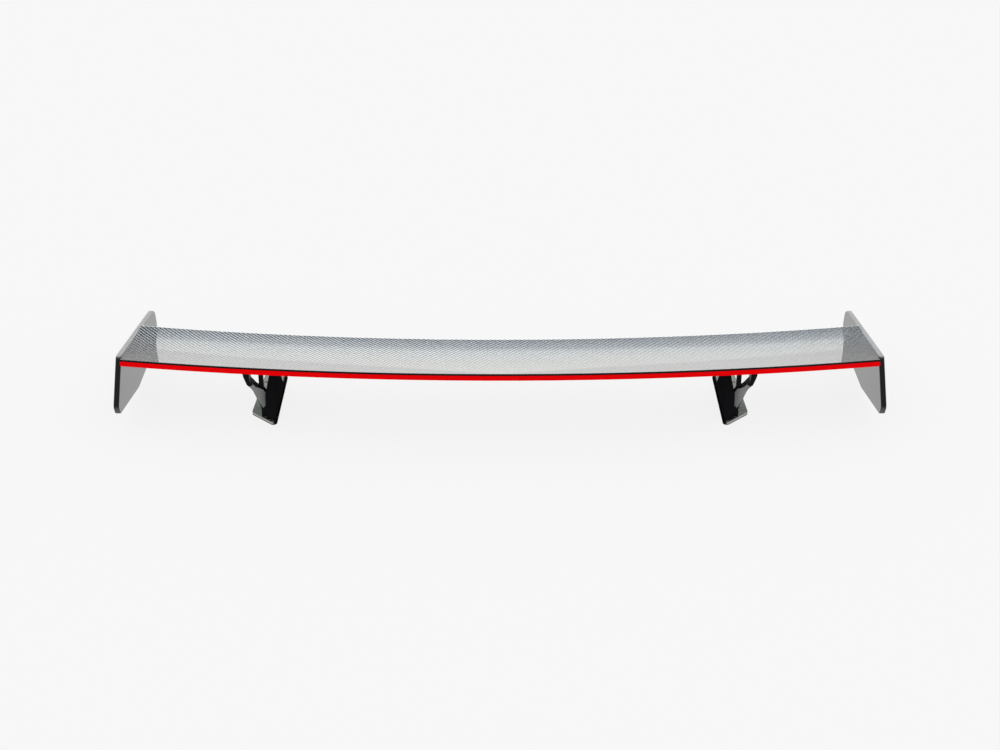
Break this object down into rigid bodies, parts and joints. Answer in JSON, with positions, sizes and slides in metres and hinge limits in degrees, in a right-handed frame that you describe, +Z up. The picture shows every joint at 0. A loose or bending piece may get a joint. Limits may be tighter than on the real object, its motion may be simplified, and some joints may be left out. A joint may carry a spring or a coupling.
{
  "type": "racing rear wing",
  "caption": "Bowed carbon wing blade with a red light bar in its trailing edge, end plates and forked bolt-on supports on flat feet.",
  "frame": {"origin": "middle of the wing's box in plan, on the surface that the feet stand on", "axes": "+X along the span to the car's right as seen from behind, +Y towards the car's nose, +Z up"},
  "size_m": [1.2864, 0.3855, 0.1214],
  "materials": {
    "carbon_skin": "clear-coated two-by-two carbon twill",
    "carbon_inner": "bare carbon laminate",
    "foam_core": "closed-cell foam",
    "bare_aluminium": "mill finish",
    "circuit_board": "white solder mask",
    "light_chip": "moulded chip",
    "red_lens": "smooth red acrylic",
    "black_rubber": "moulded",
    "black_gloss": "high gloss black",
    "brass_insert": "turned",
    "steel_fastener": "black oxide",
    "foot_metal": "satin, light grey",
    "black_support": "gloss black paint on cast aluminium"
  },
  "bodies": {
    "root": {"upper_skin": "carbon_skin", "lower_skin": "carbon_skin", "main_spar": "carbon_inner", "front_core": "foam_core", "rear_core": "foam_core", "light_channel": "bare_aluminium", "light_board": "circuit_board", "light_chips": "light_chip", "light_lens": "red_lens", "lead_grommet": "black_rubber", "end_plate_left": "black_gloss", "end_plate_right": "black_gloss", "tip_rib_left": "carbon_inner", "tip_rib_right": "carbon_inner", "tip_inserts_left": "brass_insert", "tip_inserts_right": "brass_insert", "plate_washers_left": "steel_fastener", "plate_washers_right": "steel_fastener", "plate_screws_left": "steel_fastener", "plate_screws_right": "steel_fastener", "foot_gasket_left": "black_rubber", "foot_gasket_right": "black_rubber", "foot_plate_left": "foot_metal", "foot_plate_right": "foot_metal", "foot_screws_left": "steel_fastener", "foot_screws_right": "steel_fastener", "upright_left": "black_support", "upright_right": "black_support", "outer_arm_left": "black_support", "outer_arm_right": "black_support", "arm_screws_left": "steel_fastener", "arm_screws_right": "steel_fastener", "flange_washers_left": "steel_fastener", "flange_washers_right": "steel_fastener", "flange_screws_left": "steel_fastener", "flange_screws_right": "steel_fastener", "rear_hard_point_left": "bare_aluminium", "rear_hard_point_right": "bare_aluminium", "front_hard_point_left": "bare_aluminium", "front_hard_point_right": "bare_aluminium"}
  },
  "joints": []
}
